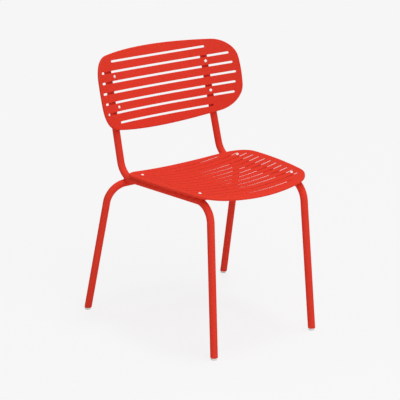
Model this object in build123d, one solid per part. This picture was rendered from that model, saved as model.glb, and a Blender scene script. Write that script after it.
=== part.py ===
from build123d import *
import os
from math import cos, radians, sin, sqrt

# Metal stacking chair: a welded frame of bent tube with a slotted seat and a slotted back.
# Millimetres, +Z up, the front towards -Y, the sitter's left is +X.
# The origin is on the floor, under the middle of the whole chair.

# Tubes of the frame
tube_diameter = 22.0
tube_wall = 1.5
bend_radius = 57.0
bar_diameter = 12.0
bar_wall = 1.5

# Side tube: corners of its centre line before they are rounded
front_foot_x = 183.3
front_foot_y = -269.4
front_corner_x = 169.5
front_corner_y = -231.3
front_corner_z = 455.7
rear_corner_x = 184.5
rear_corner_y = 181.8
rear_corner_z = 435.5
post_top_x = 177.7
post_lean = 15.3
post_past_back_middle = 73.5

# Rear leg hoop: feet on the floor and the cross run under the side tubes
rear_foot_x = 264.3
rear_foot_y = 270.0
hoop_shoulder_x = 242.0
hoop_bar_y = 168.5

# Welds
weld_root_gap = 1.0
hoop_weld_radius = 9.0
bar_weld_leg = 2.5

# Sheet of both panels, with its edge turned away from the sitter
sheet = 2.2
edge_inside_round = 1.0
edge_lip = 4.4
slot_width = 6.5

# Seat panel, in its own plane: bowed edges, a trough across the width, slots across the width
seat_trough_radius = 1000.0
seat_half_width = 224.3
seat_rear_reach = 222.3
seat_front_reach = 222.0
seat_widest_at = 103.0
seat_side_bow = 1330.0
seat_rear_bow = 508.0
seat_front_bow = 716.0
seat_rear_corner = 98.4
seat_front_corner = 91.5
seat_behind_corner = 185.1
seat_slots = 13
seat_slot_pitch = 30.0
seat_slot_margin = 19.0
seat_end_slot_margin = 51.0
seat_screw_span = 9 * seat_slot_pitch

# Back panel, in its own plane: bowed edges, curved round the sitter, slots across the width
back_curve_radius = 394.0
back_half_width = 258.6
back_half_height = 124.8
back_side_bow = 560.0
back_top_bow = 1412.0
back_corner = 76.1
back_above_corner = 252.5
back_slot_pitch = 30.5
back_slot_margins = (13.1, 16.9, 18.4, 60.5)
back_screw_span = 3 * back_slot_pitch

# Fasteners between the tubes and the panels
screw_diameter = 5.0
screw_tip_gap = 0.7
screw_head_diameter = 9.5
screw_head_height = 2.75
screw_head_round = 2.2
screw_socket_width = 3.0
screw_socket_depth = 1.6
boss_diameter = 12.0
boss_length = 7.3
washer_diameter = 12.0
washer_thickness = 1.0

# Plastic ends
glide_height = 7.5
glide_top_diameter = 20.0
glide_sole_diameter = 16.0
glide_edge_diameter = 18.8
glide_edge_height = 1.6
glide_stem_length = 22.0
cap_height = 3.0
cap_round = 2.0
cap_stem_length = 12.0

# Clearances
plug_clearance = 0.1
thread_clearance = 0.05
hole_clearance = 0.3
head_clearance = 0.05
bar_seat_clearance = 1.3

# Where the front cross bar runs, measured forward of the middle of the seat
bar_ahead_of_seat = 116.0

# Lengths that only have to reach past a piece, and a width that only marks a line
past = 60.0
far_past = 1200.0
hairline = 0.05

tube_radius = tube_diameter / 2
bar_radius = bar_diameter / 2
edge_roll = sheet + edge_inside_round
edge_depth = edge_roll + edge_lip
panel_stack = tube_radius + boss_length + washer_thickness + sheet
upward = (Align.CENTER, Align.CENTER, Align.MIN)
downward = (Align.CENTER, Align.CENTER, Align.MAX)


# Centre lines of the tubes

rear_corner = Vector(rear_corner_x, rear_corner_y, rear_corner_z)
front_corner = Vector(front_corner_x, front_corner_y, front_corner_z)
front_foot = Vector(front_foot_x, front_foot_y, 0)
post_length = back_above_corner + post_past_back_middle
post_top_y = rear_corner_y + post_length * sin(radians(post_lean))
post_top_z = rear_corner_z + post_length * cos(radians(post_lean))
post_top = Vector(post_top_x, post_top_y, post_top_z)


def bend_centre(corner, before, after):
    """Centre of the round bend at a corner of a centre line."""
    a = (before - corner).normalized()
    b = (after - corner).normalized()
    half_angle = radians(a.get_angle(b)) / 2
    return corner + (a + b).normalized() * (bend_radius / sin(half_angle))


rear_bend = bend_centre(rear_corner, post_top, front_corner)
hoop_reach = bend_radius + tube_diameter + weld_root_gap
hoop_bar_z = rear_bend.Z - sqrt(hoop_reach ** 2 - (hoop_bar_y - rear_bend.Y) ** 2)
rear_foot = Vector(rear_foot_x, rear_foot_y, 0)
hoop_shoulder = Vector(hoop_shoulder_x, hoop_bar_y, hoop_bar_z)


def across(point):
    """The same point on the other side of the chair."""
    return Vector(-point.X, point.Y, point.Z)


# Frames of the two panels

class Panel:
    """A dished panel: its plane, its bend about the plane's own Y, and the tube that carries it."""

    def __init__(self, tube_start, tube_end, reach, radius):
        """Set the plane so that the panel stands off the tube by the length of the fastener stack."""
        run = Vector(0, tube_end.Y - tube_start.Y, tube_end.Z - tube_start.Z)
        normal = Vector(1, 0, 0).cross(run.normalized())
        on_tube = tube_start + (tube_end - tube_start) * (reach / run.length)
        to_bend_axis = sqrt((radius + panel_stack) ** 2 - on_tube.X ** 2)
        origin = Vector(0, on_tube.Y, on_tube.Z) + normal * (to_bend_axis - radius)
        self.plane = Plane(origin=origin, x_dir=(1, 0, 0), z_dir=normal)
        self.radius = radius
        self.tube_start = tube_start
        self.tube_direction = (tube_end - tube_start).normalized()

    def drum(self, depth):
        """Solid drum about the bend axis, out to a depth behind the front face."""
        turned = Rot(90, 0, 0) * Cylinder(self.radius + depth, far_past)
        return self.plane.location * Pos(0, 0, self.radius) * turned

    def prism(self, outline):
        """A flat outline carried through the panel, square to its plane."""
        return extrude(self.plane.location * Pos(0, 0, -past) * outline, amount=past + self.radius)

    def screw_plane(self, row):
        """Plane on the tube's axis, with its normal through the panel at a screw row."""
        start = self.plane.to_local_coords(self.tube_start)
        ahead = self.plane.to_local_coords(self.tube_start + self.tube_direction)
        on_tube = self.tube_start + self.tube_direction * ((row - start.Y) / (ahead.Y - start.Y))
        bend_axis = self.plane.from_local_coords(Vector(0, row, self.radius))
        return Plane(origin=on_tube, x_dir=self.tube_direction, z_dir=bend_axis - on_tube)

    def stand_off(self, screw_plane, row):
        """Distance from the tube's axis to the front face, along the screw."""
        bend_axis = self.plane.from_local_coords(Vector(0, row, self.radius))
        return (bend_axis - screw_plane.origin).length - self.radius


seat = Panel(front_corner, rear_corner, seat_behind_corner, seat_trough_radius)
back = Panel(rear_corner, post_top, back_above_corner, back_curve_radius)
seat_rows = (seat_screw_span / 2, -seat_screw_span / 2)
back_rows = (back_screw_span / 2, -back_screw_span / 2)
screw_places = [(seat, row) for row in seat_rows] + [(back, row) for row in back_rows]
stand_offs = [panel.stand_off(panel.screw_plane(row), row) for panel, row in screw_places]
screw_length = min(stand_offs) - tube_radius - screw_tip_gap


# Tubes

def rod(path, radius):
    """A round rod swept along a centre line."""
    return sweep(Plane(origin=path @ 0, z_dir=path % 0) * Circle(radius), path=path)


def tube(path):
    """A bent tube of the frame and the rod that fills its outside."""
    outside = rod(path, tube_radius)
    return outside - rod(path, tube_radius - tube_wall), outside


below_tubes = Pos(0, 0, glide_height) * Box(far_past, far_past, past, align=downward)
side_path = FilletPolyline(post_top, rear_corner, front_corner, front_foot, radius=bend_radius)
side_tube, side_outside = tube(side_path)
hoop_points = [rear_foot, hoop_shoulder, across(hoop_shoulder), across(rear_foot)]
hoop_tube, hoop_outside = tube(FilletPolyline(*hoop_points, radius=bend_radius))
side_tube -= below_tubes
hoop_tube -= below_tubes

bar_depth = sheet + bar_seat_clearance + bar_radius
bar_middle = seat.plane.from_local_coords(Vector(0, -bar_ahead_of_seat, -bar_depth))
bar_plane = Plane(origin=bar_middle, x_dir=(0, 1, 0), z_dir=(1, 0, 0))
rail_run = front_corner - rear_corner
bar_end = rear_corner + rail_run * ((bar_middle.Y - rear_corner.Y) / rail_run.Y)
bar_round = bar_plane * Cylinder(bar_radius, 2 * bar_end.X)
bar_bore = bar_plane * Cylinder(bar_radius - bar_wall, 2 * bar_end.X)
both_sides = [side_outside, mirror(side_outside, about=Plane.YZ)]
front_bar = bar_round - bar_bore - both_sides


# Weld beads

def hoop_weld():
    """Bead in the narrow gap where the hoop passes under a side tube."""
    toward_hoop = (Vector(0, hoop_bar_y, hoop_bar_z) - Vector(0, rear_bend.Y, rear_bend.Z)).normalized()
    middle = rear_bend + toward_hoop * (bend_radius + tube_radius + weld_root_gap / 2)
    blank = Plane(origin=middle, z_dir=toward_hoop) * Cylinder(hoop_weld_radius, tube_diameter)
    return blank - side_outside - hoop_outside


def bar_weld():
    """Fillet bead round the end of the front cross bar, against the rail."""
    inside_rail = tube_radius / 2
    root = Plane(origin=bar_middle + Vector(bar_end.X - inside_rail, 0, 0), z_dir=(-1, 0, 0))
    reach = tube_radius - inside_rail + bar_weld_leg
    cone = root * Cone(bar_radius + reach, bar_radius, reach, align=upward)
    collar = root * Cylinder(bar_radius + bar_weld_leg, reach, align=upward)
    return (cone & collar) - bar_round - side_outside


# Sheet panels

def bowed_outline(half_width, rear, front, widest_at, bows, corners, inset):
    """Outline of four bowed edges with rounded corners, drawn in by an even inset."""
    side_bow, rear_bow, front_bow = [bow - inset for bow in bows]
    side_at = half_width - inset - side_bow
    outline = Pos(0, rear - inset - rear_bow) * Circle(rear_bow)
    outline &= Pos(0, front_bow - front + inset) * Circle(front_bow)
    outline &= Pos(side_at, widest_at) * Circle(side_bow)
    outline &= Pos(-side_at, widest_at) * Circle(side_bow)
    ends = outline.vertices().group_by(Axis.Y)
    outline = fillet(ends[-1], corners[0] - inset)
    front_points = outline.vertices().group_by(Axis.Y)[0]
    return fillet(front_points, corners[1] - inset)


def seat_outline(inset):
    """Outline of the seat in its plane."""
    bows = (seat_side_bow, seat_rear_bow, seat_front_bow)
    corners = (seat_rear_corner, seat_front_corner)
    return bowed_outline(
        seat_half_width, seat_rear_reach, seat_front_reach, seat_widest_at, bows, corners, inset
    )


def back_outline(inset):
    """Outline of the back in its plane."""
    bows = (back_side_bow, back_top_bow, back_top_bow)
    corners = (back_corner, back_corner)
    return bowed_outline(back_half_width, back_half_height, back_half_height, 0, bows, corners, inset)


def half_width_at(outline, row):
    """Half the width of an outline at a row across it."""
    strip = Pos(0, row) * Rectangle(far_past, hairline)
    return (outline & strip).bounding_box().max.X


def slot_row(outline, row, margin):
    """A slot across the panel that stops short of the outline on both sides."""
    length = 2 * (half_width_at(outline, row) - margin)
    return Pos(0, row) * SlotOverall(length, slot_width)


def seat_slot_rows():
    """Slots of the seat, with the first and the last ones shorter."""
    outline = seat_outline(0)
    first = (seat_slots - 1) / 2 * seat_slot_pitch
    slots = []
    for index in range(seat_slots):
        at_end = index in (0, seat_slots - 1)
        margin = seat_end_slot_margin if at_end else seat_slot_margin
        slots.append(slot_row(outline, first - index * seat_slot_pitch, margin))
    return slots


def back_slot_rows():
    """Slots of the back, from the middle one outwards."""
    outline = back_outline(0)
    slots = []
    for index, margin in enumerate(back_slot_margins):
        rows = (index * back_slot_pitch, -index * back_slot_pitch)
        slots += [slot_row(outline, row, margin) for row in rows[: 1 if index == 0 else 2]]
    return slots


def dish(panel, outline, front_depth, rear_depth, edge_round):
    """A dished block between two depths, with the edge of its front face rounded."""
    block = (panel.drum(rear_depth) & panel.prism(outline)) - panel.drum(front_depth)
    front_face = block.faces().sort_by_distance(panel.plane.origin)[0]
    return fillet(front_face.edges(), edge_round)


def pressed_sheet(panel, outline, slots, rows):
    """A dished sheet with a rolled edge, its slots and its screw holes."""
    blank = dish(panel, outline(0), 0, edge_depth, edge_roll)
    hollow = dish(panel, outline(sheet), sheet, past, edge_inside_round)
    formed = blank - hollow
    formed -= [panel.prism(slot) for slot in slots]
    for row in rows:
        hole = panel.screw_plane(row) * Cylinder(screw_diameter / 2 + hole_clearance, past)
        formed -= [hole, mirror(hole, about=Plane.YZ)]
    return formed


# Fasteners

def boss(panel, row):
    """Tapped boss, saddled on its tube and cut to the curve of the panel."""
    axis = panel.screw_plane(row)
    body = axis * Cylinder(boss_diameter / 2, panel.stand_off(axis, row), align=upward)
    bore = axis * Cylinder(screw_diameter / 2 + thread_clearance, past)
    seat_on_tube = Plane(origin=axis.origin, z_dir=panel.tube_direction) * Cylinder(tube_radius, past)
    return body - bore - seat_on_tube - panel.drum(sheet + washer_thickness)


def washer(panel, row):
    """Plastic washer between a boss and the sheet."""
    axis = panel.screw_plane(row)
    hole = Cylinder(screw_diameter / 2 + hole_clearance, past)
    ring = axis * (Cylinder(washer_diameter / 2, past) - hole)
    return (ring & panel.drum(sheet + washer_thickness)) - panel.drum(sheet)


def screw(panel, row):
    """Button-head screw through the sheet and the washer into the boss."""
    axis = panel.screw_plane(row)
    under_head = axis.offset(panel.stand_off(axis, row) + head_clearance)
    head = Cylinder(screw_head_diameter / 2, screw_head_height, align=upward)
    head = fillet(head.edges().sort_by(Axis.Z)[-1], screw_head_round)
    socket_outline = RegularPolygon(screw_socket_width / 2, 6, major_radius=False)
    socket_floor = Pos(0, 0, screw_head_height - screw_socket_depth)
    head -= socket_floor * extrude(socket_outline, amount=screw_head_height)
    shank = Cylinder(screw_diameter / 2, screw_length, align=downward)
    return under_head * (head + shank)


# Plastic ends

def glide(foot, toward):
    """Foot plug: a stem in the tube and a tapered sole that stands flat on the floor."""
    axis = (toward - foot).normalized()
    heights = (0, glide_edge_height, glide_height)
    diameters = (glide_sole_diameter, glide_edge_diameter, glide_top_diameter)
    middles = [foot + axis * (height / axis.Z) for height in heights]
    sole = loft([Pos(middle) * Circle(size / 2) for middle, size in zip(middles, diameters)], ruled=True)
    stem_radius = tube_radius - tube_wall - plug_clearance
    stem_height = glide_height / axis.Z + glide_stem_length
    stem = Plane(origin=foot, z_dir=axis) * Cylinder(stem_radius, stem_height, align=upward)
    return sole + (stem - below_tubes)


def post_cap():
    """Plug that closes the upper end of a post."""
    head = Cylinder(tube_radius, cap_height, align=upward)
    head = fillet(head.edges().sort_by(Axis.Z)[-1], cap_round)
    stem = Cylinder(tube_radius - tube_wall - plug_clearance, cap_stem_length, align=downward)
    return Plane(origin=post_top, z_dir=post_top - rear_corner) * (head + stem)


# Nodes

def on_both_sides(maker, panel, rows):
    """The same fastener at every screw row, on both sides of the chair."""
    left = [maker(panel, row).solid() for row in rows]
    right = [mirror(piece, about=Plane.YZ) for piece in left]
    return Compound(left + right)


def pair(name, piece):
    """A left piece and its mirror image on the right, by node name."""
    return {f"left_{name}": piece, f"right_{name}": mirror(piece, about=Plane.YZ)}


nodes = {
    "rear_leg_hoop": hoop_tube,
    "front_cross_bar": front_bar,
    "seat_panel": pressed_sheet(seat, seat_outline, seat_slot_rows(), seat_rows),
    "back_panel": pressed_sheet(back, back_outline, back_slot_rows(), back_rows),
    "seat_bosses": on_both_sides(boss, seat, seat_rows),
    "back_bosses": on_both_sides(boss, back, back_rows),
    "seat_washers": on_both_sides(washer, seat, seat_rows),
    "back_washers": on_both_sides(washer, back, back_rows),
    "seat_screws": on_both_sides(screw, seat, seat_rows),
    "back_screws": on_both_sides(screw, back, back_rows),
}
nodes |= pair("side_tube", side_tube)
nodes |= pair("hoop_weld", hoop_weld())
nodes |= pair("bar_weld", bar_weld())
nodes |= pair("post_cap", post_cap())
front_glide = glide(front_foot, front_corner)
rear_glide = glide(rear_foot, hoop_shoulder)
for end, piece in (("front", front_glide), ("rear", rear_glide)):
    nodes[f"{end}_left_glide"] = piece
    nodes[f"{end}_right_glide"] = mirror(piece, about=Plane.YZ)

# The origin moves under the middle of the chair's own box
boxes = [shape.bounding_box() for shape in nodes.values()]
middle_y = (min(box.min.Y for box in boxes) + max(box.max.Y for box in boxes)) / 2

os.makedirs("parts", exist_ok=True)
for node, shape in nodes.items():
    export_step(Pos(0, -middle_y, 0) * shape, f"parts/{node}.step")
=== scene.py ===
import logging
import math
from dataclasses import dataclass, field
from enum import Enum

import bmesh
import bpy
import numpy as np
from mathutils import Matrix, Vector


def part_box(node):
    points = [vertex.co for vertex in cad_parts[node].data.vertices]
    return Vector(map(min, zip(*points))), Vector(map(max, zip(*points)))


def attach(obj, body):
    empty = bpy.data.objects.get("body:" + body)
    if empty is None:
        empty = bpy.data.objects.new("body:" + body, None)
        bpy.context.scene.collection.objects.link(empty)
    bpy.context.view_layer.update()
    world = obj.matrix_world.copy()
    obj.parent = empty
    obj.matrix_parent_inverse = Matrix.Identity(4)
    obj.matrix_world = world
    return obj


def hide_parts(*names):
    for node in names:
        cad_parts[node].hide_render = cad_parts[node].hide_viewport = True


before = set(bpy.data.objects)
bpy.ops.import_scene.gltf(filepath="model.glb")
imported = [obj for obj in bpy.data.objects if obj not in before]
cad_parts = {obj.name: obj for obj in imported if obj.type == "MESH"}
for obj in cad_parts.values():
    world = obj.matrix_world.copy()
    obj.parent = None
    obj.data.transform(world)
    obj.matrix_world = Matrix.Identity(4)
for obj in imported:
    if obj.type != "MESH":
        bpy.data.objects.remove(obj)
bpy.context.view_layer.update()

Array = np.ndarray
Colour = tuple[float, float, float, float]
Place = tuple[float, float, float]
Pair = tuple[float, float]
LOG = logging.getLogger("stacking_chair")
MM = 0.001
BODY = "root"
X_AXIS, Y_AXIS, Z_AXIS = np.eye(3)
DROP_X = Y_AXIS + Z_AXIS
FLIP_X = np.array([-1.0, 1.0])
FENCE = 0.02
NOISE_ROUGH = 0.55
NOISE_MIDDLE = 0.5
BACK_REACH = 252.5


class Slot(Enum):
    """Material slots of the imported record."""

    COAT = "red_powder_coat"
    SCREW = "zinc_screws"
    GLIDE = "pale_plastic"
    CAP = "dark_plastic"


class Side(Enum):
    """The sitter's left and right, as the sign of X."""

    LEFT = 1.0
    RIGHT = -1.0

    @property
    def word(self) -> str:
        """Name of the side as it stands in piece names."""
        return self.name.lower()

    def turn(self, points: Array) -> Array:
        """Points of the left half carried to this side."""
        return points * np.array([self.value, 1.0, 1.0])


# Numpy surfaces

def fixed(*values: float | list[float]) -> Array:
    """Dataclass field that holds an array."""
    return field(default_factory=lambda: np.array(values))


def unit(vectors: Array) -> Array:
    """Vectors scaled to length one along their last axis."""
    return vectors / np.linalg.norm(vectors, axis=-1, keepdims=True)


def blend(start: Array, end: Array, share: Array) -> Array:
    """Straight mix of two values: start where share is 0, end where it is 1."""
    return start + (end - start) * share


def circle(steps: int) -> Array:
    """Even angles once round a circle, in radians."""
    return np.linspace(0, 2 * np.pi, steps, endpoint=False)


def fenced(steps: int) -> Array:
    """Even shares from 0 to 1 with a narrow step at both ends, which keeps the shading between flat."""
    return np.concatenate([[0.0, FENCE], np.linspace(0, 1, steps)[1:-1], [1.0 - FENCE, 1.0]])


def rows_of(x: Array, y: Array) -> Array:
    """Flat points in rows: row i has the places x[i] across, all at y[i] along."""
    return np.stack([x, np.broadcast_to(y[:, None], x.shape)], axis=-1)


def arc_profile(middle: Pair, radius: float, start: float, end: float, steps: int) -> Array:
    """Points of an arc: middle plus radius times (cos a, sin a), a in degrees from start to end."""
    angle = np.radians(np.linspace(start, end, steps))
    return np.array(middle) + radius * np.stack([np.cos(angle), np.sin(angle)], axis=-1)


def rings(points: Array, first: Array, second: Array, radius: Array | float, sides: int) -> Array:
    """Rings along a path: ring i is p_i + r_i (cos a u_i + sin a v_i), with the angles a even.

    Args:
        points: Points p of the path.
        first: Unit vectors u square to the path, or one for all.
        second: Unit vectors v square to the path and to u, or one for all.
        radius: Radii r, or one for all.
        sides: Points round each ring.

    Returns:
        Grid of points by sides by three.
    """
    angle = circle(sides)[:, None]
    cut = np.cos(angle) * first[..., None, :] + np.sin(angle) * second[..., None, :]
    return points[:, None] + np.reshape(radius, (-1, 1, 1)) * cut


def lathe(profile: Array, turns: int) -> Array:
    """Rings of a profile of radii and heights turned about Z."""
    return rings(profile[:, 1:] * Z_AXIS, X_AXIS, Y_AXIS, profile[:, 0], turns)


def axes_along(direction: Array) -> Array:
    """Three unit rows, the last along a unit direction and the second square to it and to X."""
    second = unit(np.cross(direction, X_AXIS))
    return np.stack([np.cross(second, direction), second, direction])


@dataclass
class Surface:
    """Vertices in millimetres and four-cornered faces that index them."""

    points: Array
    faces: Array

    @staticmethod
    def grid(points: Array, wrap_rows: bool = False, wrap_columns: bool = True) -> "Surface":
        """Make a surface of a grid of points.

        Face (i, j) joins points (i, j), (i, j + 1), (i + 1, j + 1) and (i + 1, j), so it faces the side
        from which columns to rows turn counter-clockwise.

        Args:
            points: Array of rows by columns by three.
            wrap_rows: Whether the last row joins the first one.
            wrap_columns: Whether the last column joins the first one.

        Returns:
            The surface with one vertex for each grid point.
        """
        rows, columns = points.shape[:2]
        index = np.arange(rows * columns).reshape(rows, columns)
        steps = ((0, 0), (0, -1), (-1, -1), (-1, 0))
        corners = np.stack([np.roll(index, step, axis=(0, 1)) for step in steps], axis=-1)
        kept = corners[:rows if wrap_rows else rows - 1, :columns if wrap_columns else columns - 1]
        return Surface(points.reshape(-1, 3), kept.reshape(-1, 4))

    @staticmethod
    def hollow(outside: Array, bore: Array) -> "Surface":
        """A pipe: the rings of its outside, then those of its bore back to the start."""
        return Surface.grid(np.concatenate([outside, bore[::-1]]), wrap_rows=True)

    @staticmethod
    def join(parts: list["Surface"]) -> "Surface":
        """Make several surfaces one.

        Args:
            parts: The surfaces.

        Returns:
            One surface, with the parts' indices counted on.
        """
        counts = np.cumsum([0] + [len(part.points) for part in parts[:-1]])
        faces = [part.faces + count for part, count in zip(parts, counts)]
        return Surface(np.concatenate([part.points for part in parts]), np.concatenate(faces))

    def flipped(self) -> "Surface":
        """The same surface with its faces turned to the other side."""
        return Surface(self.points, self.faces[:, ::-1])

    def on(self, side: Side) -> "Surface":
        """The left half's surface on the given side, still facing outwards."""
        moved = Surface(side.turn(self.points), self.faces)
        return moved if side is Side.LEFT else moved.flipped()


# Shader expressions

class Sock:
    """A shader socket that takes part in Python expressions."""

    def __init__(self, graph: "Graph", socket: bpy.types.NodeSocket) -> None:
        """Keep the socket and the graph that it belongs to."""
        self.graph = graph
        self.socket = socket

    def __add__(self, other: "Sock | float") -> "Sock":
        """Sum of two values."""
        return self.graph.math("ADD", self, other)

    def __radd__(self, other: float) -> "Sock":
        """Sum with a number on the left."""
        return self.graph.math("ADD", other, self)

    def __sub__(self, other: "Sock | float") -> "Sock":
        """Difference of two values."""
        return self.graph.math("SUBTRACT", self, other)

    def __rsub__(self, other: float) -> "Sock":
        """Difference with a number on the left."""
        return self.graph.math("SUBTRACT", other, self)

    def __mul__(self, other: "Sock | float") -> "Sock":
        """Product of two values."""
        return self.graph.math("MULTIPLY", self, other)

    def __rmul__(self, other: float) -> "Sock":
        """Product with a number on the left."""
        return self.graph.math("MULTIPLY", other, self)

    def clipped(self, low: float, high: float) -> "Sock":
        """The value mapped from low..high to 0..1 and held there."""
        inputs = {"Value": self, "From Min": low, "From Max": high}
        return self.graph.node("ShaderNodeMapRange", {"clamp": True}, inputs)


class Graph:
    """The node tree of one material or world."""

    def __init__(self, tree: bpy.types.NodeTree) -> None:
        """Start from an empty tree."""
        self.tree = tree
        self.tree.nodes.clear()

    def node(
        self,
        kind: str,
        settings: dict[str, object] | None = None,
        inputs: dict[str | int, object] | None = None,
        output: str | int = 0,
    ) -> Sock | None:
        """Add a node.

        Args:
            kind: Type of the node.
            settings: Properties set before the sockets.
            inputs: Socket names or numbers, each with a value or a link.
            output: Name or number of the output that is wanted.

        Returns:
            The wanted output, or nothing for a node without outputs.
        """
        node = self.tree.nodes.new(kind)
        for name, value in (settings or {}).items():
            setattr(node, name, value)
        for name, value in (inputs or {}).items():
            if isinstance(value, Sock):
                self.tree.links.new(value.socket, node.inputs[name])
            else:
                node.inputs[name].default_value = value
        return Sock(self, node.outputs[output]) if len(node.outputs) else None

    def math(self, operation: str, first: "Sock | float", second: "Sock | float") -> Sock:
        """One Math node on two values."""
        return self.node("ShaderNodeMath", {"operation": operation}, {0: first, 1: second})

    def place(self) -> Sock:
        """Object coordinates, in metres."""
        return self.node("ShaderNodeTexCoord", output="Object")

    def noise(self, place: Sock, size_mm: float, detail: float) -> Sock:
        """Noise from 0 to 1 whose lumps have about the given size."""
        inputs = {"Vector": place, "Scale": 1 / (size_mm * MM), "Detail": detail, "Roughness": NOISE_ROUGH}
        return self.node("ShaderNodeTexNoise", {"noise_dimensions": "3D"}, inputs)

    def mix(self, share: Sock, first: Colour, second: Colour) -> Sock:
        """Mix of two colours, by the node's inputs 6 and 7 and its output 2."""
        return self.node("ShaderNodeMix", {"data_type": "RGBA"}, {0: share, 6: first, 7: second}, output=2)

    def bump(self, height: Sock, strength: float, depth_mm: float) -> Sock:
        """Normal of a surface raised by a height."""
        inputs = {"Strength": strength, "Distance": depth_mm * MM, "Height": height}
        return self.node("ShaderNodeBump", None, inputs)


def shade(colour: Colour, factor: float) -> Colour:
    """A colour made lighter or darker by a factor."""
    return (colour[0] * factor, colour[1] * factor, colour[2] * factor, 1.0)


def grey(level: float) -> Colour:
    """A grey of the given level."""
    return (level, level, level, 1.0)


@dataclass(frozen=True)
class Finish:
    """Base of the finishes: a named material built once."""

    name: str

    def surface(self, graph: Graph) -> Sock:
        """Build the shader of the finish."""
        raise NotImplementedError

    def material(self) -> bpy.types.Material:
        """Make the finish's material on first use.

        Returns:
            The material.
        """
        made = bpy.data.materials.get(self.name)
        if made is None:
            made = bpy.data.materials.new(self.name)
            made.use_nodes = True
            graph = Graph(made.node_tree)
            graph.node("ShaderNodeOutputMaterial", None, {"Surface": self.surface(graph)})
        return made


@dataclass(frozen=True)
class Layer:
    """Noise of one size, and its shares in a finish's tone, height and roughness."""

    size_mm: float
    detail: float = 2.0
    low: float = 0.3
    high: float = 0.7
    tone: float = 0.0
    height: float = 0.0
    swing: float = 0.0


@dataclass(frozen=True)
class LayeredFinish(Finish):
    """A finish whose tone, roughness and relief (strength, millimetres) follow layers of noise."""

    colour: Colour
    tones: Pair
    roughness: float
    relief: Pair
    layers: tuple[Layer, ...]

    def sockets(self) -> dict[str, object]:
        """Further settings of the shader."""
        raise NotImplementedError

    def surface(self, graph: Graph) -> Sock:
        """Mix the tone from the clipped noises, and raise and roughen the skin by the noises themselves.

        Args:
            graph: The material's graph.

        Returns:
            The shader.
        """
        place = graph.place()
        tone, height, rough = 0.0, 0.0, self.roughness
        for layer in self.layers:
            noise = graph.noise(place, layer.size_mm, layer.detail)
            if layer.tone:
                tone = tone + noise.clipped(layer.low, layer.high) * layer.tone
            if layer.height:
                height = height + noise * layer.height
            if layer.swing:
                rough = rough + (noise - NOISE_MIDDLE) * layer.swing
        inputs = {
            "Base Color": graph.mix(tone, *[shade(self.colour, factor) for factor in self.tones]),
            "Roughness": rough,
            "Normal": graph.bump(height, *self.relief),
        }
        return graph.node("ShaderNodeBsdfPrincipled", None, inputs | self.sockets())


@dataclass(frozen=True)
class PowderCoat(LayeredFinish):
    """Matte powder coat: clouds and grain shift its colour, peel and grain raise its skin."""

    colour: Colour = (0.770, 0.0500, 0.0285, 1.0)
    tones: Pair = (0.965, 1.03)
    roughness: float = 0.62
    relief: Pair = (0.10, 0.12)
    layers: tuple[Layer, ...] = (
        Layer(1.3, detail=1.5, height=0.75, swing=0.10),
        Layer(85.0, detail=3.0, low=0.25, high=0.75, tone=0.6, swing=0.05),
        Layer(0.32, detail=1.0, tone=0.4, height=0.25),
    )
    ior: float = 1.5
    gloss: float = 0.002

    def sockets(self) -> dict[str, object]:
        """Hardly any gloss."""
        return {"IOR": self.ior, "Specular IOR Level": self.gloss}


@dataclass(frozen=True)
class PaleSteel(LayeredFinish):
    """Pale zinc-coated steel: a faint stain clouds its colour, fine turning marks roughen it."""

    colour: Colour = (0.90, 0.89, 0.87, 1.0)
    tones: Pair = (0.93, 1.0)
    roughness: float = 0.42
    relief: Pair = (0.12, 0.05)
    layers: tuple[Layer, ...] = (Layer(2.2, high=0.75, tone=1.0), Layer(0.22, height=1.0, swing=0.16))
    metallic: float = 0.35

    def sockets(self) -> dict[str, object]:
        """Partly metal."""
        return {"Metallic": self.metallic}


@dataclass(frozen=True)
class MouldedPlastic(LayeredFinish):
    """Moulded plastic: broad clouds shift its tone, a faint spark-eroded texture breaks up its gloss."""

    colour: Colour = (0.86, 0.86, 0.85, 1.0)
    tones: Pair = (0.94, 1.04)
    roughness: float = 0.5
    relief: Pair = (0.15, 0.08)
    layers: tuple[Layer, ...] = (Layer(9.0, tone=1.0), Layer(0.45, height=1.0, swing=0.14))
    glow: float = 0.12
    glow_reach: Place = (0.004, 0.004, 0.004)
    glow_scale: float = 0.5

    def sockets(self) -> dict[str, object]:
        """Light that passes under the skin."""
        names = ("Subsurface Weight", "Subsurface Radius", "Subsurface Scale")
        return dict(zip(names, (self.glow, self.glow_reach, self.glow_scale)))


RED_COAT = PowderCoat("red_powder_coat_finish")
PALE_STEEL = PaleSteel("pale_screw_steel")
PALE_GLIDE = MouldedPlastic("pale_glide_plastic")
PALE_WASHER = MouldedPlastic("pale_washer_plastic", colour=(0.66, 0.66, 0.64, 1.0), glow=0.05)
DARK_CAP = MouldedPlastic("dull_cap_plastic", colour=(0.30, 0.018, 0.012, 1.0), roughness=0.55, glow=0.0)


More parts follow.
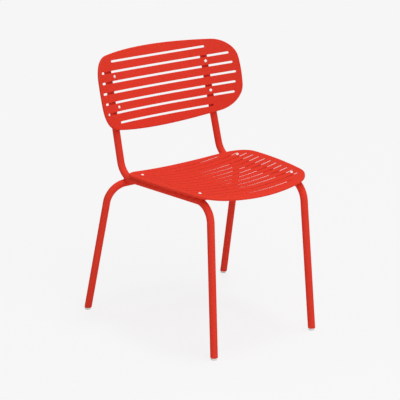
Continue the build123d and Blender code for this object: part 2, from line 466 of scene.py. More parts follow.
@dataclass
class Workshop:
    """Puts numpy surfaces into the scene as pieces of the chair."""

    fore_and_aft: float
    sharp_degrees: float = 38.0
    weld_distance: float = 2e-6

    def piece(self, name: str, surface: Surface, finish: Finish, stands_for: str) -> None:
        """Make one piece of the chair.

        Args:
            name: Name of the piece.
            surface: Its surface in millimetres, before the chair is centred over the origin.
            finish: The finish that covers it.
            stands_for: CAD node that the piece replaces.
        """
        moved = (surface.points + self.fore_and_aft * Y_AXIS) * MM
        mesh = bpy.data.meshes.new(name)
        mesh.from_pydata(moved.tolist(), [], surface.faces.tolist())
        self._close(mesh)
        mesh.materials.append(finish.material())
        made = bpy.data.objects.new(name, mesh)
        bpy.context.scene.collection.objects.link(made)
        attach(made, BODY)
        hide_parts(stands_for)
        LOG.info("%s: %d faces", name, len(mesh.polygons))

    def _close(self, mesh: bpy.types.Mesh) -> None:
        """Merge the seams and poles of the grids, and shade smooth up to the sharp edges.

        Args:
            mesh: The mesh.
        """
        work = bmesh.new()
        work.from_mesh(mesh)
        bmesh.ops.remove_doubles(work, verts=work.verts, dist=self.weld_distance)
        work.to_mesh(mesh)
        work.free()
        mesh.shade_smooth()
        mesh.set_sharp_from_angle(angle=math.radians(self.sharp_degrees))

    @staticmethod
    def dress(node: str, finish: Finish) -> None:
        """Give a CAD node that stays in view its finish.

        Args:
            node: Name of the node.
            finish: The finish.
        """
        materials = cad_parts[node].data.materials
        materials.clear()
        materials.append(finish.material())
        LOG.info("%s: CAD node dressed", node)


# Frame

@dataclass
class BentPath:
    """Centre line of straight runs that round bends join."""

    corners: Array
    bend: float
    run_steps: int = 10
    bend_steps: int = 30

    def __post_init__(self) -> None:
        """Round off the corners.

        With an angle 2h between the runs at a corner, the bend's middle lies bend / sin h from it along
        their bisector, and the bend starts bend / tan h before it.
        """
        inner = self.corners[1:-1]
        self.back, ahead = unit(self.corners[:-2] - inner), unit(self.corners[2:] - inner)
        self.half = np.arccos(np.sum(self.back * ahead, axis=1, keepdims=True)) / 2
        self.middles = inner + unit(self.back + ahead) * (self.bend / np.sin(self.half))
        self.starts = inner + self.back * (self.bend / np.tan(self.half))

    def samples(self) -> tuple[Array, Array]:
        """Points and directions along the centre line.

        A point of a bend at angle t is middle + bend (cos t e - sin t a), where e points from the bend's
        middle to its start, and a back along the run before it.

        Returns:
            Points and unit directions, each an array of samples by three.
        """
        e, a = unit(self.starts - self.middles)[:, None], self.back[:, None]
        t = np.linspace(0, np.pi - 2 * self.half, self.bend_steps, axis=1)
        bends = self.middles[:, None] + self.bend * (np.cos(t) * e - np.sin(t) * a)
        first, last = self.corners[:1], self.corners[-1:]
        begins, ends = np.concatenate([first, bends[:, -1]]), np.concatenate([bends[:, 0], last])
        runs = blend(begins[:, None], ends[:, None], np.linspace(0, 1, self.run_steps)[1:-1, None])
        courses = unit(ends - begins)[:, None] + 0 * runs
        points = np.concatenate([runs[:-1], bends], axis=1).reshape(-1, 3)
        turns = np.concatenate([courses[:-1], -np.sin(t) * e - np.cos(t) * a], axis=1).reshape(-1, 3)
        directions = [courses[0, :1], turns, courses[-1], courses[-1, :1]]
        return np.concatenate([first, points, runs[-1], last]), np.concatenate(directions)


@dataclass
class TubeFrame:
    """Bent tubes of the welded frame: two side tubes and the rear leg hoop."""

    radius: float = 10.99
    wall: float = 1.5
    bend: float = 57.0
    sides: int = 56
    front_foot: Array = fixed(183.3, -269.4, 0.0)
    front_corner: Array = fixed(169.5, -231.3, 455.7)
    rear_corner: Array = fixed(184.5, 181.8, 435.5)
    rear_foot: Array = fixed(264.3, 270.0, 0.0)
    post_top_x: float = 177.7
    post_lean: float = 15.3
    post_past_back: float = 73.5
    hoop_shoulder_x: float = 242.0
    hoop_bar_y: float = 168.5
    weld_gap: float = 1.0
    foot_height: float = 7.5

    def __post_init__(self) -> None:
        """Work out the left side tube's line, and the hoop's, a weld gap below the rear bend."""
        lean = math.radians(self.post_lean)
        rise = (BACK_REACH + self.post_past_back) * np.array([math.sin(lean), math.cos(lean)])
        self.post_top = np.array([self.post_top_x, *(self.rear_corner[1:] + rise)])
        corners = [self.post_top, self.rear_corner, self.front_corner, self.front_foot]
        self.side_path = BentPath(np.stack(corners), self.bend)
        self.rear_bend = self.side_path.middles[0]
        reach = self.bend + 2 * self.radius + self.weld_gap
        drop = math.sqrt(reach ** 2 - (self.hoop_bar_y - self.rear_bend[1]) ** 2)
        self.hoop_shoulder = np.array([self.hoop_shoulder_x, self.hoop_bar_y, self.rear_bend[2] - drop])
        left = np.stack([self.rear_foot, self.hoop_shoulder])
        self.hoop_path = BentPath(np.concatenate([left, Side.RIGHT.turn(left)[::-1]]), self.bend)

    def _pipe(self, path: BentPath, square_to: Array, level_ends: tuple[int, ...]) -> Surface:
        """A hollow tube along a path.

        Args:
            path: Its centre line.
            square_to: A vector that the line never follows.
            level_ends: The ends, 0 or -1, that slide along the tube until they are level at the feet.

        Returns:
            The tube.
        """
        points, directions = path.samples()
        first = unit(np.cross(square_to, directions))
        walls = []
        for radius in (self.radius, self.radius - self.wall):
            wall = rings(points, first, np.cross(directions, first), radius, self.sides)
            for end in level_ends:
                wall[end] += directions[end] * ((self.foot_height - wall[end][:, 2:]) / directions[end][2])
            walls.append(wall)
        return Surface.hollow(*walls)

    def build(self, shop: Workshop) -> None:
        """Put the tubes into the scene.

        Args:
            shop: The workshop that makes the pieces.
        """
        tube = self._pipe(self.side_path, X_AXIS, (-1,))
        for side in Side:
            node = f"{side.word}_side_tube"
            shop.piece(f"{side.word}_frame_tube", tube.on(side), RED_COAT, node)
        hoop = self._pipe(self.hoop_path, np.cross(X_AXIS, self.hoop_shoulder - self.rear_foot), (0, -1))
        shop.piece("rear_hoop_tube", hoop, RED_COAT, "rear_leg_hoop")


@dataclass
class CrossBar:
    """Tube between the two rails, under the front of the seat."""

    tubes: TubeFrame
    seat: "PressedSheet"
    radius: float = 6.0
    wall: float = 1.5
    ahead: float = 116.0
    below: float = 9.5
    steps: int = 24

    def __post_init__(self) -> None:
        """Work out the bar's middle."""
        self.middle = self.seat.middle - self.ahead * self.seat.along - self.below * self.seat.normal

    def end(self, radius: float, sides: int) -> Array:
        """Loop round the bar, out where it meets the left rail.

        At a height h from the rail's centre line, the rail's skin stands sqrt(R^2 - h^2) inside that line.

        Args:
            radius: Radius of the loop.
            sides: Points of the loop.

        Returns:
            The points.
        """
        loop = rings(self.middle[None], Y_AXIS, Z_AXIS, radius, sides)[0]
        rear, front = self.tubes.rear_corner, self.tubes.front_corner
        rail = blend(rear, front, (loop[:, 1:2] - rear[1]) / (front[1] - rear[1]))
        loop[:, 0] = rail[:, 0] - np.sqrt(self.tubes.radius ** 2 - (loop[:, 2] - rail[:, 2]) ** 2)
        return loop

    def build(self, shop: Workshop) -> None:
        """Put the bar into the scene.

        Args:
            shop: The workshop that makes the pieces.
        """
        ends = [self.end(radius, self.tubes.sides) for radius in (self.radius, self.radius - self.wall)]
        share = np.linspace(0, 1, self.steps)[:, None, None]
        bar = Surface.hollow(*[blend(Side.RIGHT.turn(end), end, share) for end in ends])
        shop.piece("front_cross_tube", bar, RED_COAT, "front_cross_bar")


@dataclass
class WeldBeads:
    """Painted weld beads with the ripples that the torch leaves."""

    tubes: TubeFrame
    bar: CrossBar
    ripple: float = 0.07
    hoop_loop: float = 7.6
    hoop_ripples: int = 22
    hoop_swell: float = 0.8
    bar_ripples: int = 26
    bar_bead: float = 2.1
    bar_clear: float = 0.5
    rail_clear: float = 0.4
    bar_lean: float = 0.8
    loop_steps: int = 176
    bead_sides: int = 20

    def _bead(self, path: Array, outward: Array, radius: Array | float, ripples: int) -> Surface:
        """A closed bead along a loop, of radius r (1 + ripple |sin(n t / 2)|) at the angle t round the loop.

        Args:
            path: Points of the loop.
            outward: Unit vectors away from the joint at the points.
            radius: Radius r at the points, or everywhere.
            ripples: Number n of ripples round the loop.

        Returns:
            The bead.
        """
        along = unit(np.roll(path, -1, axis=0) - np.roll(path, 1, axis=0))
        second = unit(np.cross(along, outward))
        size = radius * (1 + self.ripple * np.abs(np.sin(ripples * circle(len(path)) / 2)))
        loops = rings(path, np.cross(second, along), second, size, self.bead_sides)
        return Surface.grid(loops, wrap_rows=True)

    def hoop_bead(self) -> Surface:
        """Bead round the place where the hoop touches the left side tube.

        On a loop of radius L about the touching point, a and b are the offsets along the hoop and along the
        side tube. The side tube's skin stands sqrt(R^2 - a^2) from its centre line, which bends away with b,
        the hoop's skin sqrt(R^2 - b^2) from its own, and the bead fills the gap between the two.

        Returns:
            The bead on the left.
        """
        tubes = self.tubes
        to_axis = tubes.radius + tubes.weld_gap / 2
        to_hoop = unit((tubes.hoop_shoulder - tubes.rear_bend) * DROP_X)
        middle = tubes.rear_bend + to_hoop * (tubes.bend + to_axis)
        rail = tubes.front_corner - tubes.rear_corner
        middle = middle + X_AXIS * (rail[0] / rail[1]) * (middle[1] - tubes.rear_bend[1])
        outward = rings(np.zeros((1, 3)), X_AXIS, np.cross(to_hoop, X_AXIS), 1.0, self.loop_steps)[0]
        turn = circle(self.loop_steps)
        a, b = self.hoop_loop * np.cos(turn), self.hoop_loop * np.sin(turn)
        bent = tubes.bend - np.sqrt(tubes.bend ** 2 - b ** 2)
        tube_skin = -to_axis - bent + np.sqrt(tubes.radius ** 2 - a ** 2)
        hoop_skin = to_axis - np.sqrt(tubes.radius ** 2 - b ** 2)
        path = middle + self.hoop_loop * outward + (tube_skin + hoop_skin)[:, None] / 2 * to_hoop
        return self._bead(path, outward, (hoop_skin - tube_skin) / 2 + self.hoop_swell, self.hoop_ripples)

    def bar_bead_loop(self) -> Surface:
        """Bead round the end of the cross bar, along the curve where its skin meets the left rail.

        Returns:
            The bead on the left.
        """
        path = self.bar.end(self.bar.radius + self.bar_clear, self.loop_steps) - self.rail_clear * X_AXIS
        around = rings(np.zeros((1, 3)), Y_AXIS, Z_AXIS, 1.0, self.loop_steps)[0]
        return self._bead(path, unit(around - self.bar_lean * X_AXIS), self.bar_bead, self.bar_ripples)

    def build(self, shop: Workshop) -> None:
        """Put the beads into the scene.

        Args:
            shop: The workshop that makes the pieces.
        """
        beads = {"hoop": self.hoop_bead(), "bar": self.bar_bead_loop()}
        for side in Side:
            for where, bead in beads.items():
                joint = f"{side.word}_{where}"
                shop.piece(f"{joint}_bead", bead.on(side), RED_COAT, f"{joint}_weld")


# Sheet panels

@dataclass
class BowedOutline:
    """Outline of four bowed edges with rounded corners, the same on both sides; pairs are front, rear."""

    half_width: float
    widest_at: float
    side_bow: float
    reaches: Pair
    bows: Pair
    rounds: Pair
    table_steps: int = 20001

    def __post_init__(self) -> None:
        """Work out the arcs of the right half, from the front apex to the rear one.

        A corner's middle is where the circles of its edge and its side, both less its round, meet.
        Neighbouring arcs share their normal where they meet, so its angle runs without a break from -90 to
        90 degrees. Each arc holds one stretch of it, and is as long as that times the arc's radius.
        """
        ways = np.array([[-1.0], [1.0]])
        reaches, bows, rounds = [np.array(pair)[:, None] for pair in (self.reaches, self.bows, self.rounds)]
        side = np.array([self.half_width - self.side_bow, self.widest_at])
        edges = np.concatenate([np.zeros((2, 1)), ways * (reaches - bows)], axis=1)
        apart = np.linalg.norm(side - edges, axis=1, keepdims=True)
        e = (side - edges) / apart
        along = ((bows - rounds) ** 2 - (self.side_bow - rounds) ** 2 + apart ** 2) / (2 * apart)
        off = -ways * np.sqrt((bows - rounds) ** 2 - along ** 2)
        corners = edges + along * e + off * np.stack([-e[:, 1], e[:, 0]], axis=1)
        turns = np.stack([corners[0] - edges[0], *(corners - side), corners[1] - edges[1]])
        angles = np.arctan2(turns[:, 1], turns[:, 0])
        self.middles = np.stack([edges[0], corners[0], side, corners[1], edges[1]])
        self.radii = np.array([self.bows[0], self.rounds[0], self.side_bow, self.rounds[1], self.bows[1]])
        self.angles = np.concatenate([[-np.pi / 2], angles, [np.pi / 2]])
        self.ends = np.append(0.0, np.cumsum(self.radii * np.diff(self.angles)))

    def at(self, distance: Array, inset: float = 0.0) -> tuple[Array, Array]:
        """Points at distances along the right half, and their outward normals.

        The normal's angle is piecewise linear in the distance, and a point is its arc's middle plus the
        arc's radius, less the inset, along the normal.

        Args:
            distance: Distances from the front apex.
            inset: How far the points are drawn in from the outline.

        Returns:
            Points and normals, each an array by two.
        """
        angle = np.interp(distance, self.ends, self.angles)
        arc = np.clip(np.searchsorted(self.ends, distance, side="right") - 1, 0, len(self.radii) - 1)
        normal = np.stack([np.cos(angle), np.sin(angle)], axis=-1)
        return self.middles[arc] + (self.radii[arc] - inset)[:, None] * normal, normal

    def distance_at(self, y: Array, inset: float) -> Array:
        """Distances along the right half at which the drawn-in outline reaches the given rows."""
        table = np.linspace(0, self.ends[-1], self.table_steps)
        return np.interp(y, self.at(table, inset)[0][:, 1], table)

    def half_width_at(self, y: Array, inset: float = 0.0) -> Array:
        """Half the width of the drawn-in outline at the given rows."""
        points, _ = self.at(self.distance_at(np.ravel(y), inset), inset)
        return points[:, 0].reshape(np.shape(y))


@dataclass
class PressedSheet:
    """A dished sheet with slots across it and an edge that is rolled away from the sitter."""

    name: str
    outline: BowedOutline
    radius: float
    pitch: float
    margins: tuple[float, ...]
    screw_step: float
    tube_start: Array
    tube_end: Array
    reach: float
    stack: float = 21.5
    sheet: float = 2.2
    inside_round: float = 1.0
    lip: float = 4.4
    slot_half: float = 3.25
    slot_round: float = 0.15
    lip_round: float = 0.45
    end_columns: int = 9
    middle_columns: int = 44
    slat_rows: int = 5
    turn_steps: int = 13
    cap_rows: int = 9
    roll_steps: int = 9
    round_steps: int = 4
    inside_steps: int = 5
    merge_decimals: int = 7

    def __post_init__(self) -> None:
        """Work out the sheet's axes and middle from the tube that carries it, then its slots and screws."""
        run = (self.tube_end - self.tube_start) * DROP_X
        self.along = unit(run)
        self.normal = np.cross(X_AXIS, self.along)
        on_tube = blend(self.tube_start, self.tube_end, self.reach / np.linalg.norm(run))
        rise = math.sqrt((self.radius + self.stack) ** 2 - on_tube[0] ** 2) - self.radius
        self.middle = on_tube * DROP_X + rise * self.normal
        self.roll = self.sheet + self.inside_round
        self.slot_edge = self.slot_half + self.slot_round
        steps = np.arange(1 - len(self.margins), len(self.margins))
        self.rows = self.pitch * steps
        halves = self.outline.half_width_at(self.rows) - np.array(self.margins)[np.abs(steps)]
        self.straights = halves - self.slot_half
        self.screw_rows = (self.screw_step * self.pitch, -self.screw_step * self.pitch)
        turn = np.linspace(-np.pi / 2, np.pi / 2, self.turn_steps)
        self.sine, self.cosine = np.sin(turn), np.cos(turn)

    def bent(self, flat: Array, depth: Array | float) -> Array:
        """Carry flat points onto the dish.

        A point (x, y) at a depth d behind the front face goes to x, y and R - sqrt((R + d)^2 - x^2) along
        the sheet's axes, where R is the radius of the dish.

        Args:
            flat: Points in the sheet's plane.
            depth: Depth behind the front face, one for each row or one for all.

        Returns:
            Points of the chair.
        """
        x, y = flat[..., :1], flat[..., 1:]
        height = self.radius - np.sqrt((self.radius + np.asarray(depth)[..., None]) ** 2 - x ** 2)
        return self.middle + x * X_AXIS + y * self.along + height * self.normal

    def _swept(self, profile: Array, line: Array, outward: Array) -> Surface:
        """A profile carried round a loop: point (i, j) is line_j + reach_i outward_j, at depth_i."""
        flat = line + profile[:, :1, None] * outward
        return Surface.grid(self.bent(flat, profile[:, 1:]))

    def _columns(self, inner: Array, outer: Array) -> Array:
        """Places across rows: from the left edge to the slots' straight part, along it and on to the right.

        Args:
            inner: Half the length of the straight part in each row.
            outer: Half the width of the sheet in each row.

        Returns:
            The places, along a new last axis.
        """
        inner, outer = inner[..., None], outer[..., None]
        across = np.linspace(-1, 1, self.middle_columns + 1)[1:-1]
        right = blend(inner, outer, fenced(self.end_columns))
        return np.concatenate([-right[..., ::-1], inner * across, right], axis=-1)

    def _slats(self) -> Array:
        """Rows of each slat, from the edge of one slot to the edge of the next."""
        low, high = self.rows[:-1, None] + self.slot_edge, self.rows[1:, None] - self.slot_edge
        return blend(low, high, fenced(self.slat_rows))

    def _flat_patches(self) -> list[Array]:
        """Grids that cover the sheet between its slots and its rolled edge.

        A slat is ruled between the slots on its two sides. Beside each slot, rows run from the slot's round
        end to the edge. The last two grids reach from the outermost slots' lines to the bowed edge.

        Returns:
            Grids of rows by columns by two, each counter-clockwise from the front.
        """
        patches = []
        for y, straight, following in zip(self._slats(), self.straights[:-1], self.straights[1:]):
            inner = blend(straight, following, fenced(self.slat_rows))
            patches.append(rows_of(self._columns(inner, self.outline.half_width_at(y, self.roll)), y))
        for row, straight in zip(self.rows, self.straights):
            y = row + self.slot_edge * self.sine
            inner = straight + self.slot_edge * self.cosine
            outer = self.outline.half_width_at(y, self.roll)
            right = rows_of(blend(inner[:, None], outer[:, None], fenced(self.end_columns)), y)
            patches += [right, right[:, ::-1] * FLIP_X]
        return patches + [self._cap(-1), self._cap(0)[::-1]]

    def _cap_line(self, index: int) -> tuple[Array, Array]:
        """Columns along an outermost slot's outer line, and where they go on the outline beyond it.

        Args:
            index: The slot, 0 or -1.

        Returns:
            The columns' points, and distances along the outline from its apex to the line's end.
        """
        row = self.rows[index] + (self.slot_edge if index == -1 else -self.slot_edge)
        x = self._columns(self.straights[index], self.outline.half_width_at(row, self.roll))
        end = self.outline.distance_at(row, self.roll)
        return rows_of(x[None], row[None])[0], blend(self.outline.ends[index], end, np.abs(x) / x[-1])

    def _cap(self, index: int) -> Array:
        """Grid from an outermost slot's line to the bowed edge beyond it.

        Args:
            index: The slot, 0 or -1.

        Returns:
            Grid of rows by columns by two.
        """
        line, distances = self._cap_line(index)
        edge, _ = self.outline.at(distances, self.roll)
        edge[:, 0] *= np.where(line[:, 0] < 0, -1.0, 1.0)
        return blend(line, edge, fenced(self.cap_rows)[:, None, None])

    def _edge_profile(self) -> Array:
        """Inset and depth across the rolled edge, from the front face round the lip to the rear face.

        Returns:
            Array of steps by two.
        """
        roll, small = self.roll, self.lip_round
        deep = roll + self.lip - small
        front = arc_profile((roll, roll), roll, 270, 180, self.roll_steps)
        outer = arc_profile((small, deep), small, 180, 90, self.round_steps)
        inner = arc_profile((self.sheet - small, deep), small, 90, 0, self.round_steps)
        back = arc_profile((roll, roll), self.inside_round, 180, 270, self.inside_steps)
        return np.concatenate([front, outer, inner, back])

    def _edge(self) -> Surface:
        """The rolled edge: its profile carried once round the outline, in step with the flat grids.

        Returns:
            The edge.
        """
        sides = np.append(self.rows[:, None] + self.slot_edge * self.sine, self._slats()[:, 1:-1])
        caps = [self._cap_line(index)[1] for index in (0, -1)]
        distances = np.concatenate([self.outline.distance_at(sides, self.roll), *caps])
        halves = self.outline.at(np.unique(np.round(distances, self.merge_decimals)))
        point, normal = [np.concatenate([half, half[-2:0:-1] * FLIP_X]) for half in halves]
        return self._swept(self._edge_profile(), point, -normal).flipped()

    def _slot_wall(self, row: float, straight: float) -> Surface:
        """The wall of one slot: a rounded profile carried round a straight-sided loop.

        A point of the loop is a point of the slot's middle line plus a reach along a turning direction. The
        reach is half the slot's width, and grows by the round at both faces.

        Args:
            row: The slot's place along the sheet.
            straight: Half the length of the slot's middle line.

        Returns:
            The wall, facing into the slot.
        """
        across = np.linspace(1, -1, self.middle_columns + 1)[1:-1]
        spine = straight * np.append(np.ones_like(self.sine), across)
        turn_x = np.append(self.cosine, np.zeros_like(across))
        turn_y = np.append(self.sine, np.ones_like(across))
        half = np.stack([spine, np.zeros_like(spine), turn_x, turn_y], axis=-1)
        loop = np.concatenate([half, -half])
        small = self.slot_round
        front = arc_profile((self.slot_edge, small), small, 270, 180, self.round_steps)
        back = arc_profile((self.slot_edge, self.sheet - small), small, 180, 90, self.round_steps)
        return self._swept(np.concatenate([front, back]), loop[:, :2] + [0.0, row], loop[:, 2:])

    def surface(self) -> Surface:
        """The whole sheet: rolled edge, front face, rear face and slot walls.

        Returns:
            The sheet.
        """
        parts = [self._edge()]
        for patch in self._flat_patches():
            skins = [self.bent(patch, depth) for depth in (0.0, self.sheet)]
            front, rear = [Surface.grid(skin, wrap_columns=False) for skin in skins]
            parts += [front, rear.flipped()]
        parts += [self._slot_wall(row, straight) for row, straight in zip(self.rows, self.straights)]
        return Surface.join(parts)

    def screw_axis(self, row: float) -> tuple[Array, Array]:
        """Axis of a left screw, square to the dish and through the middle of the tube behind it.

        Args:
            row: The screw's place along the sheet.

        Returns:
            The axis' point on the front face, and its direction out of the sheet.
        """
        offset = (self.tube_start - self.middle) @ self.along
        share = (row - offset) / ((self.tube_end - self.tube_start) @ self.along)
        bend_axis = self.middle + row * self.along + self.radius * self.normal
        out = unit(bend_axis - blend(self.tube_start, self.tube_end, share))
        return bend_axis - self.radius * out, out

    def build(self, shop: Workshop) -> None:
        """Put the sheet into the scene."""
        shop.piece(f"{self.name}_sheet", self.surface(), RED_COAT, f"{self.name}_panel")


# Fasteners and plastic ends

@dataclass
class ButtonScrews:
    """Button-head screws with a hexagon socket; the tables are radii and heights."""

    shank: Array = fixed([0.0, -7.5], [2.5, -7.5], [2.5, 0.0], [4.6, 0.0], [4.75, 0.15])
    dome_middle: Pair = (2.55, 0.55)
    dome_round: float = 2.2
    dome_steps: int = 12
    socket: Array = fixed([1.72, 2.75], [1.5, 2.55], [1.5, 1.15], [0.0, 0.9])
    under_head: float = 0.05
    twists: Pair = (0.35, 1.1)
    turns: int = 60

    def _shape(self) -> Surface:
        """One screw along Z.

        The rings are turned about Z, from the tip of the shank over the dome to the floor of the socket. In
        the socket, a ring's radius is that of a hexagon: the flat's distance divided by cos of the angle
        from the middle of the nearest flat.

        Returns:
            The screw with the underside of its head at height 0.
        """
        dome = arc_profile(self.dome_middle, self.dome_round, 0, 90, self.dome_steps)
        outside = lathe(np.concatenate([self.shank, dome]), self.turns)
        socket = lathe(self.socket, self.turns)
        socket[..., :2] /= np.cos(np.mod(circle(self.turns), np.pi / 3) - np.pi / 6)[:, None]
        return Surface.grid(np.concatenate([outside, socket]))

    def group(self, panel: PressedSheet) -> Surface:
        """The panel's four screws, each pair turned to its own angle.

        Args:
            panel: The panel that the screws hold.

        Returns:
            The screws.
        """
        one = self._shape()
        parts = []
        for row, twist in zip(panel.screw_rows, self.twists):
            place, out = panel.screw_axis(row)
            c, s = math.cos(twist), math.sin(twist)
            spin = np.array([[c, s, 0.0], [-s, c, 0.0], [0.0, 0.0, 1.0]])
            points = place + self.under_head * out + one.points @ spin @ axes_along(out)
            parts += [Surface(points, one.faces).on(side) for side in Side]
        return Surface.join(parts)

    def build(self, shop: Workshop, panel: PressedSheet) -> None:
        """Put a panel's screws into the scene, and dress what lies behind them.

        Args:
            shop: The workshop that makes the pieces.
            panel: The panel that the screws hold.
        """
        name = panel.name
        shop.piece(f"{name}_button_screws", self.group(panel), PALE_STEEL, f"{name}_screws")
        shop.dress(f"{name}_washers", PALE_WASHER)
        shop.dress(f"{name}_bosses", RED_COAT)


@dataclass
class PlasticEnds:
    """Glides in the feet and plugs in the posts; the tables are radii and heights."""

    tubes: TubeFrame
    foot: Array = fixed(
        [0.0, 0.0], [7.3, 0.0], [7.9, 0.12], [8.5, 0.5], [9.15, 1.25], [9.4, 1.9],
        [9.9, 6.3], [10.0, 7.0], [9.9, 7.48], [9.3, 7.49], [9.3, 21.5], [0.0, 21.5],
    )
    plug: Array = fixed([0.0, -14.0], [9.3, -14.0], [9.3, 0.0], [10.79, 0.02], [10.99, 0.25])
    head_middle: Pair = (8.99, 1.0)
    head_round: float = 2.0
    head_turn: float = 80.0
    head_steps: int = 9
    crown: Array = fixed([4.495, 2.995], [0.0, 3.0])
    turns: int = 56

    def glide(self, foot: Array, toward: Array) -> Surface:
        """A glide on the left: level rings about the points of the leg's centre line at their heights.

        Args:
            foot: Where the leg's centre line meets the floor.
            toward: The next corner of that line.

        Returns:
            The glide.
        """
        middles = blend(foot, toward, self.foot[:, 1:] / toward[2])
        return Surface.grid(rings(middles, X_AXIS, Y_AXIS, self.foot[:, 0], self.turns))

    def post_cap(self) -> Surface:
        """The plug in the top of the left post: a stem in the bore under a low rounded head.

        Returns:
            The plug.
        """
        head = arc_profile(self.head_middle, self.head_round, 0, self.head_turn, self.head_steps)
        rows = lathe(np.concatenate([self.plug, head, self.crown]), self.turns)
        axes = axes_along(unit(self.tubes.post_top - self.tubes.rear_corner))
        return Surface.grid(self.tubes.post_top + rows @ axes)

    def build(self, shop: Workshop) -> None:
        """Put the glides and plugs into the scene.

        Args:
            shop: The workshop that makes the pieces.
        """
        tubes = self.tubes
        glides = {
            "front": self.glide(tubes.front_foot, tubes.front_corner),
            "rear": self.glide(tubes.rear_foot, tubes.hoop_shoulder),
        }
        for side in Side:
            for end, glide in glides.items():
                foot = f"{end}_{side.word}"
                shop.piece(f"{foot}_foot_glide", glide.on(side), PALE_GLIDE, f"{foot}_glide")
            cap = self.post_cap().on(side)
            shop.piece(f"{side.word}_post_plug", cap, DARK_CAP, f"{side.word}_post_cap")


# Studio

def shown_rays(graph: Graph) -> Sock:
    """One for rays that show the backdrop: those of the camera, of gloss and of glass.

    Args:
        graph: The graph that needs it.

    Returns:
        The share.
    """
    names = ("Is Camera Ray", "Is Glossy Ray", "Is Transmission Ray")
    camera, gloss, glass = [graph.node("ShaderNodeLightPath", output=name) for name in names]
    return (camera + gloss + glass).clipped(0.0, 1.0)


@dataclass(frozen=True)
class FloorFinish(Finish):
    """Pale seamless floor that shows as the backdrop and keeps a faint shadow."""

    even: float = 0.94
    paper: float = 0.86
    shadow_share: float = 0.13

    def surface(self, graph: Graph) -> Sock:
        """Seen directly, an even tone mixed with lit paper; for other rays, lit paper alone.

        Args:
            graph: The material's graph.

        Returns:
            The shader.
        """
        lit = graph.node("ShaderNodeBsdfDiffuse", None, {"Color": grey(self.paper)})
        even = graph.node("ShaderNodeEmission", None, {"Color": grey(self.even), "Strength": 1.0})
        seen = graph.node("ShaderNodeMixShader", None, {0: self.shadow_share, 1: even, 2: lit})
        return graph.node("ShaderNodeMixShader", None, {0: shown_rays(graph), 1: lit, 2: seen})


@dataclass(frozen=True)
class Lamp:
    """A wide, even lamp: degrees round the chair from its front, above the horizon and of its spread."""

    name: str
    azimuth: float
    elevation: float
    strength: float
    spread: float


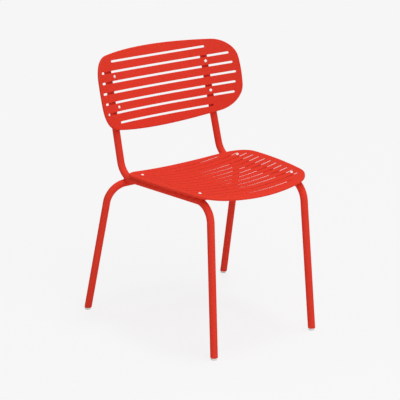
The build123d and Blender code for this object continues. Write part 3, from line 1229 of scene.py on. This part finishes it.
@dataclass
class Studio:
    """Camera, soft lamps, surround and floor."""

    camera_at: Place = (-2700.7, -3574.2, 1856.9)
    target: Place = (-32.65, 0.0, 380.07)
    lens: float = 142.4
    clip_end: float = 200.0
    lamps: tuple[Lamp, ...] = (
        Lamp("top_lamp", 90.0, 82.0, 0.86, 12.0),
        Lamp("front_lamp", 0.0, 60.0, 0.80, 40.0),
    )
    lamp_distance: float = 4.0
    softbox_at: Place = (-0.4, -1.6, 1.5)
    softbox_width: float = 0.8
    softbox_power: float = 5.9
    ambient: float = 0.43
    backdrop: float = 0.922
    floor_size: float = 60.0
    floor_drop: float = 0.0002
    floor_lines: int = 9

    @staticmethod
    def _aimed(data: bpy.types.ID, place: Vector, aim: Vector) -> bpy.types.Object:
        """Put a camera or a light into the scene.

        Args:
            data: The camera or light, whose name the object takes.
            place: Where it stands, in metres.
            aim: The direction that it looks in.

        Returns:
            The new object.
        """
        made = bpy.data.objects.new(data.name, data)
        made.location = place
        made.rotation_mode = "QUATERNION"
        made.rotation_quaternion = aim.to_track_quat("-Z", "Y")
        bpy.context.scene.collection.objects.link(made)
        return made

    def camera(self, fore_and_aft: float) -> None:
        """Set the camera at the photograph's place and angle.

        Args:
            fore_and_aft: How far the chair is moved along Y, in millimetres.
        """
        data = bpy.data.cameras.new("photo_camera")
        data.lens, data.clip_end = self.lens, self.clip_end
        shift = Vector((0, fore_and_aft, 0))
        place, target = [(Vector(point) + shift) * MM for point in (self.camera_at, self.target)]
        bpy.context.scene.camera = self._aimed(data, place, target - place)

    def lamp(self, lamp: Lamp) -> None:
        """Add one lamp.

        Args:
            lamp: The lamp.
        """
        data = bpy.data.lights.new(lamp.name, "SUN")
        data.energy = lamp.strength
        data.angle = math.radians(lamp.spread)
        a, e = math.radians(lamp.azimuth), math.radians(lamp.elevation)
        back = Vector((math.sin(a) * math.cos(e), -math.cos(a) * math.cos(e), math.sin(e)))
        self._aimed(data, back * self.lamp_distance, -back)

    def softbox(self) -> None:
        """Add a square softbox that faces the chair."""
        data = bpy.data.lights.new("softbox", "AREA")
        data.energy = self.softbox_power
        data.size = self.softbox_width
        place = Vector(self.softbox_at)
        self._aimed(data, place, Vector(self.target) * MM - place).visible_camera = False

    def surround(self) -> None:
        """Even light from all round, with the backdrop's tone where it shows."""
        world = bpy.data.worlds.new("studio_surround")
        world.use_nodes = True
        graph = Graph(world.node_tree)
        light = graph.node("ShaderNodeBackground", None, {"Color": grey(self.ambient)})
        backdrop = graph.node("ShaderNodeBackground", None, {"Color": grey(self.backdrop)})
        mixed = graph.node("ShaderNodeMixShader", None, {0: shown_rays(graph), 1: light, 2: backdrop})
        graph.node("ShaderNodeOutputWorld", None, {"Surface": mixed})
        bpy.context.scene.world = world

    def floor(self) -> None:
        """A wide level floor under the glides."""
        share = np.linspace(-self.floor_size / 2, self.floor_size / 2, self.floor_lines)
        x, y = np.meshgrid(share, share)
        points = np.stack([x, y, np.full_like(x, -self.floor_drop)], axis=-1)
        grid = Surface.grid(points, wrap_columns=False)
        mesh = bpy.data.meshes.new("studio_floor")
        mesh.from_pydata(grid.points.tolist(), [], grid.faces.tolist())
        mesh.materials.append(FloorFinish("studio_floor_paper").material())
        made = bpy.data.objects.new("studio_floor", mesh)
        bpy.context.scene.collection.objects.link(made)

    def build(self, fore_and_aft: float) -> None:
        """Set up the whole studio.

        Args:
            fore_and_aft: How far the chair is moved along Y, in millimetres.
        """
        bpy.context.scene.view_settings.view_transform = "Standard"
        self.camera(fore_and_aft)
        for lamp in self.lamps:
            self.lamp(lamp)
        self.softbox()
        self.surround()
        self.floor()


def seat_sheet(tubes: TubeFrame) -> PressedSheet:
    """The seat: thirteen slots, the outermost ones shorter, over the two rails.

    Args:
        tubes: The frame that carries it.

    Returns:
        The seat.
    """
    outline = BowedOutline(
        half_width=224.3, widest_at=103.0, side_bow=1330.0,
        reaches=(222.0, 222.3), bows=(716.0, 508.0), rounds=(91.5, 98.4),
    )
    return PressedSheet(
        "seat", outline, radius=1000.0, pitch=30.0, margins=(19.0,) * 6 + (51.0,), screw_step=4.5,
        tube_start=tubes.front_corner, tube_end=tubes.rear_corner, reach=185.1,
    )


def back_sheet(tubes: TubeFrame) -> PressedSheet:
    """The back: seven slots that grow longer towards the middle, in front of the two posts.

    Args:
        tubes: The frame that carries it.

    Returns:
        The back.
    """
    outline = BowedOutline(
        half_width=258.6, widest_at=0.0, side_bow=560.0,
        reaches=(124.76, 124.76), bows=(1412.0, 1412.0), rounds=(76.1, 76.1),
    )
    return PressedSheet(
        "back", outline, radius=394.0, pitch=30.5, margins=(13.1, 16.9, 18.4, 60.5), screw_step=1.5,
        tube_start=tubes.rear_corner, tube_end=tubes.post_top, reach=BACK_REACH,
    )


def main() -> None:
    """Build the chair over its CAD frame, then the studio."""
    logging.basicConfig(level=logging.INFO, format="%(message)s")
    tubes = TubeFrame()
    seat, back = seat_sheet(tubes), back_sheet(tubes)
    bar = CrossBar(tubes, seat)
    low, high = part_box("front_cross_bar")
    shop = Workshop((low.y + high.y) / 2 / MM - bar.middle[1])
    for frame_part in (tubes, bar, WeldBeads(tubes, bar)):
        frame_part.build(shop)
    screws = ButtonScrews()
    for panel in (seat, back):
        panel.build(shop)
        screws.build(shop, panel)
    PlasticEnds(tubes).build(shop)
    Studio().build(shop.fore_and_aft)


if __name__ == "__main__":
    main()
